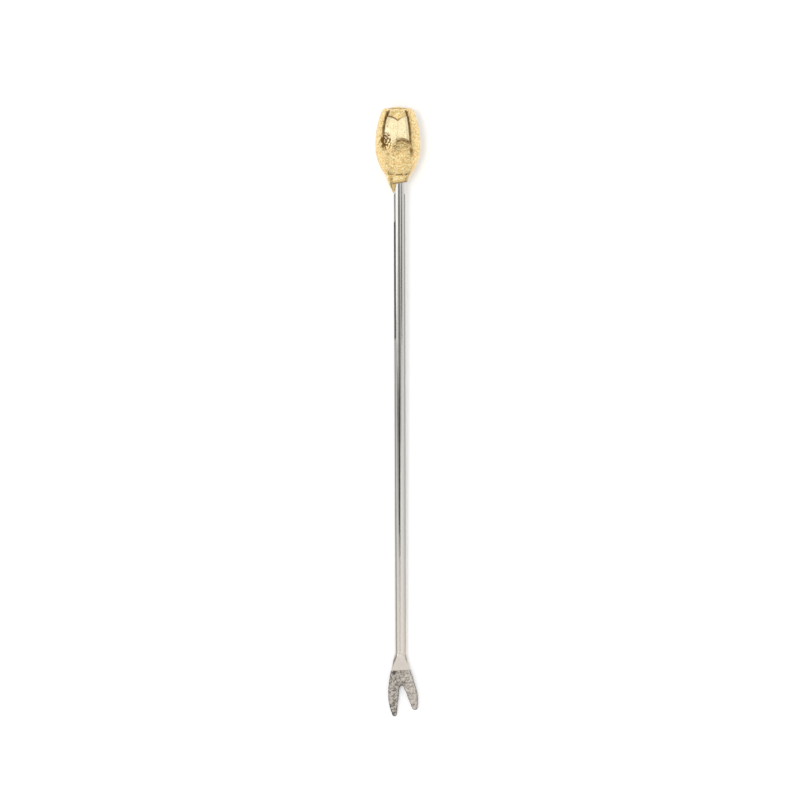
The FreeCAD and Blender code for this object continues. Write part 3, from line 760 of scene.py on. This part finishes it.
# Brown for the creases, pits and spots, and for the painted shade and the painted dark
# reflection.
darkened = add(
    tree,
    "ShaderNodeMix",
    {"Factor": tarnish_and_painted_shade.outputs["Fac"], "A": highlighted.outputs["Result"],
     "B": linear(BROWN_TARNISH_AND_SHADE)},
    data_type="RGBA",
)
gloss = add(
    tree,
    "ShaderNodeMapRange",
    {"Value": polish.outputs["Fac"], "To Min": CAST_ROUGHNESS,
     "To Max": BURNISHED_ROUGHNESS},
)
bumpiness = add(
    tree,
    "ShaderNodeMapRange",
    {"Value": polish.outputs["Fac"], "To Min": CAST_BUMP, "To Max": 0.0},
)
fine = add(
    tree,
    "ShaderNodeBump",
    {"Height": grain_marks.outputs["Fac"], "Strength": bumpiness.outputs["Result"],
     "Distance": GRAIN_DEPTH / 1000},
)
surface = add(
    tree,
    "ShaderNodeBsdfPrincipled",
    {"Base Color": darkened.outputs["Result"], "Metallic": 1.0,
     "Roughness": gloss.outputs["Result"], "Normal": fine.outputs["Normal"]},
)
add(tree, "ShaderNodeOutputMaterial", {"Surface": surface.outputs["BSDF"]})
petalled_bud.data.materials.append(gilt_brass)

# Neck, collar and tongue. They are cast in one with the bud, below a fine seam: a cone
# that draws in to a slanted collar, whose left side runs on down the stem as a tongue.
# Each ring of the cone has its height, its middle's shift across and its radius.
NECK_RINGS = ((-17.1, 0.0, 3.2), (-18.9, -0.15, 2.4), (-21.5, 0.33, 1.66))
COLLAR_RIGHT = -18.7
COLLAR_LEFT = -19.2
TONGUE_TIP = -21.5
TONGUE_SIDE = -1.02
TONGUE_HALF_ROOT = 2.0
TONGUE_HALF_TIP = 0.6
NECK_GRAIN_DEPTH = 0.04
COLLAR_ROUND = 0.06
INTO_STEM = 0.995
TUCKED_IN = 0.5
FACE_SHARES = (0.12, 0.85, 1.0)
# Painted shade on the end face's rows, the seam's dark stretch across the front, and a spot of
# painted shade on the tongue beside the stem.
FACE_SHADE = (0.1, 0.1, 0.9, 0.9)
NECK_DARK_ACROSS = (0.8, 1.4)
TONGUE_SHADE_ACROSS = (-1.55, 0.22)
TONGUE_SHADE_HEIGHT = (-18.0, 0.25)
NECK_COLUMNS = 300
NECK_ROWS = 60
NECK_TRIALS = 400

heights, middles, widths = (np.array(c) for c in zip(*NECK_RINGS[::-1]))
turn = np.linspace(-math.pi, math.pi, NECK_COLUMNS, endpoint=False)[None, :]


def neck_surface(height):
    """Points of the neck's outside, from the bud's axis."""
    middle = np.interp(height, heights, middles)
    width = np.interp(height, heights, widths)
    return middle + width * np.sin(turn), width * np.cos(turn)


# Down each column the neck ends where a trial point passes the collar's slanted edge,
# or, within the tongue's width on its left side, the tongue's tip.
trial = np.linspace(NECK[1], TONGUE_TIP, NECK_TRIALS)[:, None]
x, z = neck_surface(trial)
collar_share = (NECK[0] - x) / (NECK[0] - TONGUE_SIDE)
collar_edge = COLLAR_RIGHT + (COLLAR_LEFT - COLLAR_RIGHT) * collar_share
tongue_share = np.clip((trial - COLLAR_LEFT) / (TONGUE_TIP - COLLAR_LEFT), 0, 1)
tongue_half = TONGUE_HALF_ROOT + (TONGUE_HALF_TIP - TONGUE_HALF_ROOT) * tongue_share
on_tongue = (x < TONGUE_SIDE) & (np.abs(z) < tongue_half)
kept = (trial > np.maximum(collar_edge, COLLAR_LEFT)) | on_tongue
last = np.where(kept.all(axis=0), len(trial) - 1, np.argmin(kept, axis=0) - 1)
lower_edge = trial[np.maximum(last, 0), 0]
down = np.linspace(0, 1, NECK_ROWS)[:, None]
height = NECK[1] + (lower_edge[None, :] - NECK[1]) * down
x, z = neck_surface(height)
outside = np.stack((x, height, z), axis=-1)
lip = soft_step(height - (NECK[1] - SEAM_LIP / 2), SEAM_LIP)
skin_depth = SEAM_DEPTH * lip + NECK_GRAIN_DEPTH * lumps(outside, CAST_GRAIN, 12) * (1 - lip)
skin_depth += COLLAR_ROUND * down**12
outside = np.stack(
    (x - skin_depth * np.sin(turn), height, z - skin_depth * np.cos(turn)), axis=-1
)

# The collar's end face runs in to just below the stem's skin and tucks up inside it. The
# seam is dark here and there. The collar's lower edge, its end face and a spot on the tongue
# beside the stem are painted with shade.
inside = STEM_RADIUS * INTO_STEM
inner_rim = np.stack(
    ((inside * np.sin(turn) - BUD_AXIS)[0], lower_edge, (inside * np.cos(turn))[0]), axis=-1
)
tucked = inner_rim + (0, TUCKED_IN, 0)
face = [outside[-1] + (inner_rim - outside[-1]) * share for share in FACE_SHARES]
neck_rows = np.concatenate((outside, np.stack(face), tucked[None]))
neck_seam_and_shade = 0.7 * lip * soft_step(lumps(neck_rows[:NECK_ROWS], 0.5, 13) - 0.5, 0.2)
on_collar = soft_step(lower_edge - COLLAR_LEFT + 0.3, 0.3)
# Painted shade along the collar's lower edge.
neck_seam_and_shade = neck_seam_and_shade * bump(x, *NECK_DARK_ACROSS) + 0.95 * down**6 * on_collar
tongue_shade = bump(x, *TONGUE_SHADE_ACROSS) * bump(height, *TONGUE_SHADE_HEIGHT)
neck_seam_and_shade = np.maximum(neck_seam_and_shade, 0.8 * tongue_shade)
face_shade = np.array(FACE_SHADE)[:, None] + np.zeros(NECK_COLUMNS)
neck_seam_and_shade = np.concatenate((neck_seam_and_shade, face_shade))
neck_and_collar = skin_mesh(
    "neck_and_collar",
    (neck_rows + (BUD_AXIS, PICK_LENGTH, 0))[::-1],
    {"tarnish_and_painted_shade": neck_seam_and_shade[::-1]},
)
neck_and_collar.data.materials.append(gilt_brass)
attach(neck_and_collar, "root")
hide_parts("bud_finial")

# Table, light and camera. The pick lies on a white table in a light tent, seen from
# straight above. Two wide softboxes hang over it, more to its left, with a dark gap
# between them where the camera is, and a tall one stands on the left of its head.
TABLE_SIZE = 3.0
CLOTH_GAP = 0.01
# As lights, the table and the tent are dimmer than they look, so that the shadow shows.
TABLE_GLOW = 0.24
TENT_LIGHT = 0.36
TENT_SEEN = 0.92


def seen_directly(tree):
    """1 where the camera, a mirror or a glass sees a surface, and 0 for its light."""
    rays = add(tree, "ShaderNodeLightPath", {})
    camera_or_gloss = add(
        tree, "ShaderNodeMath",
        {0: rays.outputs["Is Camera Ray"], 1: rays.outputs["Is Glossy Ray"]},
        operation="MAXIMUM",
    )
    return add(
        tree, "ShaderNodeMath",
        {0: camera_or_gloss.outputs[0], 1: rays.outputs["Is Transmission Ray"]},
        operation="MAXIMUM",
    ).outputs[0]


def flat_piece(name, corners, paint):
    """A flat piece of the studio, from its corners in metres."""
    mesh = bpy.data.meshes.new(name)
    mesh.from_pydata(corners, [], [tuple(range(len(corners)))])
    mesh.materials.append(paint)
    piece = bpy.data.objects.new(name, mesh)
    bpy.context.scene.collection.objects.link(piece)
    return piece


table_paint, tree = new_material("matt white table")
strength = add(
    tree, "ShaderNodeMath", {0: seen_directly(tree), 1: TABLE_GLOW}, operation="MULTIPLY"
)
glow = add(
    tree, "ShaderNodeEmission", {"Color": linear("#FFFFFF"), "Strength": strength.outputs[0]}
)
matt = add(tree, "ShaderNodeBsdfDiffuse", {"Color": linear("#F0F0F0")})
both = add(tree, "ShaderNodeAddShader", {0: matt.outputs[0], 1: glow.outputs[0]})
add(tree, "ShaderNodeOutputMaterial", {"Surface": both.outputs[0]})
half = TABLE_SIZE / 2
flat_piece(
    "white_table", [(-half, -half, 0), (half, -half, 0), (half, half, 0), (-half, half, 0)],
    table_paint,
)

world = bpy.data.worlds.new("light tent")
world.use_nodes = True
tree = world.node_tree
tree.nodes.clear()
strength = add(
    tree, "ShaderNodeMapRange",
    {"Value": seen_directly(tree), "To Min": TENT_LIGHT, "To Max": TENT_SEEN},
)
tent = add(
    tree, "ShaderNodeBackground",
    {"Color": linear("#FFFFFF"), "Strength": strength.outputs["Result"]},
)
add(tree, "ShaderNodeOutputWorld", {"Surface": tent.outputs[0]})
bpy.context.scene.world = world


def softbox(name, place, aim, width, length, radiance, turned=0.0):
    """A rectangular softbox that shines from a place towards a point."""
    lamp = bpy.data.lights.new(name, "AREA")
    lamp.shape = "RECTANGLE"
    lamp.size = width
    lamp.size_y = length
    lamp.energy = radiance * math.pi * width * length
    box = bpy.data.objects.new(name, lamp)
    bpy.context.scene.collection.objects.link(box)
    box.location = place
    away = Vector(place) - Vector(aim)
    box.rotation_euler = away.to_track_quat("Z", "Y").to_euler()
    box.rotation_euler.z += math.radians(turned)
    return box


def black_back(box):
    """A black cloth behind a softbox, or the tent's brightness would be added to it."""
    wide, long = box.data.size / 2, box.data.size_y / 2
    flat = ((-wide, -long), (wide, -long), (wide, long), (-wide, long))
    behind = [(*corner, CLOTH_GAP) for corner in flat]
    back = flat_piece(box.name + "_back", behind, black_cloth)
    back.location = box.location
    back.rotation_euler = box.rotation_euler
    back.visible_camera = False


black_cloth, tree = new_material("black cloth")
dull = add(tree, "ShaderNodeBsdfDiffuse", {"Color": linear("#050505")})
add(tree, "ShaderNodeOutputMaterial", {"Surface": dull.outputs[0]})

# The softboxes, with their place and aim, then width, length, radiance and turn.
black_back(softbox("head_softbox", (-0.3, 0.56, 1.0), (-0.3, 0.56, 0), 2.7, 0.74, 1.15))
black_back(softbox("foot_softbox", (-0.25, -1.05, 1.0), (-0.25, -1.05, 0), 2.5, 1.86, 1.08, 3.0))
black_back(softbox("left_softbox", (-1.2, 0.243, 1.2), (0, 0.243, 1.2), 0.53, 1.7, 1.5))

# The key light gives the soft shadow on the right. The metal doesn't show it.
key = softbox("key_light", (-0.21, 0.05, 1.02), (-0.21, 0.05, 0), 0.22, 0.22, 18.5)
key.visible_glossy = False

# Cards that only the metal sees. Those over the gap between the softboxes show as the
# dark stripes down the stem and the brown arc on the bud, and the low ones darken the
# stem's two edges. Each has its left and right end, with x, two y and height, and a tone.
CARDS = (
    ("camera_card_low", (-0.46, -0.122, -0.05, 0.9), (0.06, -0.122, -0.05, 0.9), "#444444"),
    ("camera_card_high", (-0.46, -0.05, 0.04, 0.9), (0.14, -0.05, 0.04, 0.9), "#8C8C8C"),
    ("beside_camera", (0.14, -0.078, -0.048, 0.9), (0.40, -0.078, -0.048, 0.9), "#989898"),
    ("beside_camera_high", (0.14, -0.048, 0.0, 0.9), (0.40, -0.048, 0.0, 0.9), "#BDBDBD"),
    ("left_card", (-2.2, -0.080, -0.056, 0.9), (-0.46, -0.080, -0.056, 0.9), "#858585"),
    ("left_card_low", (-2.2, -0.122, -0.080, 0.9), (-0.46, -0.122, -0.080, 0.9), "#BEBEBE"),
    ("right_card", (0.48, -0.035, 0.032, 0.9), (1.15, -0.035, 0.032, 0.9), "#747474"),
    ("belly_card", (-0.03, 0.145, 0.185, 0.89), (1.4, 0.045, 0.13, 0.89), "#A88C66"),
    ("swoosh_card", (-0.20, 0.03, 0.055, 0.89), (-0.03, 0.12, 0.185, 0.89), "#B49A74"),
    ("left_edge_high", (-0.010, 0.0475, 0.0545, 0.0068), (-0.007, 0.0475, 0.0545, 0.0032),
     "#6C6C6C"),
    ("left_edge_card", (-0.013, 0.018, 0.0475, 0.0085), (-0.006, 0.018, 0.0475, 0.0004),
     "#646464"),
    ("left_edge_low", (-0.013, -0.062, 0.018, 0.006), (-0.007, -0.062, 0.018, 0.0004),
     "#B0B0B0"),
    ("right_edge_card", (0.006, -0.062, 0.0545, 0.0004), (0.020, -0.062, 0.0545, 0.003),
     "#B4B4B4"),
)
for name, left, right, card_tone in CARDS:
    paper, tree = new_material(name + " paper")
    flat = add(tree, "ShaderNodeEmission", {"Color": linear(card_tone)})
    add(tree, "ShaderNodeOutputMaterial", {"Surface": flat.outputs[0]})
    ends = ((left, 1), (right, 1), (right, 2), (left, 2))
    corners = [(end[0], end[side], end[3]) for end, side in ends]
    card = flat_piece(name, corners, paper)
    card.visible_camera = False
    card.visible_diffuse = False
    card.visible_shadow = False

# The camera looks straight down. The width and the middle of what it sees, in metres,
# and its small roll, in degrees, are the photo's.
CAMERA_HEIGHT = 1.5
CAMERA_ROLL = -0.155
VIEW_WIDTH = 0.2003
VIEW_CENTRE = (0.00034, 0.0030)
SENSOR = 36.0
lens = bpy.data.cameras.new("camera")
lens.sensor_width = SENSOR
lens.lens = SENSOR * CAMERA_HEIGHT / VIEW_WIDTH
camera = bpy.data.objects.new("camera", lens)
bpy.context.scene.collection.objects.link(camera)
camera.location = (*VIEW_CENTRE, CAMERA_HEIGHT)
camera.rotation_euler.z = math.radians(CAMERA_ROLL)
bpy.context.scene.camera = camera
bpy.context.scene.view_settings.view_transform = "Standard"
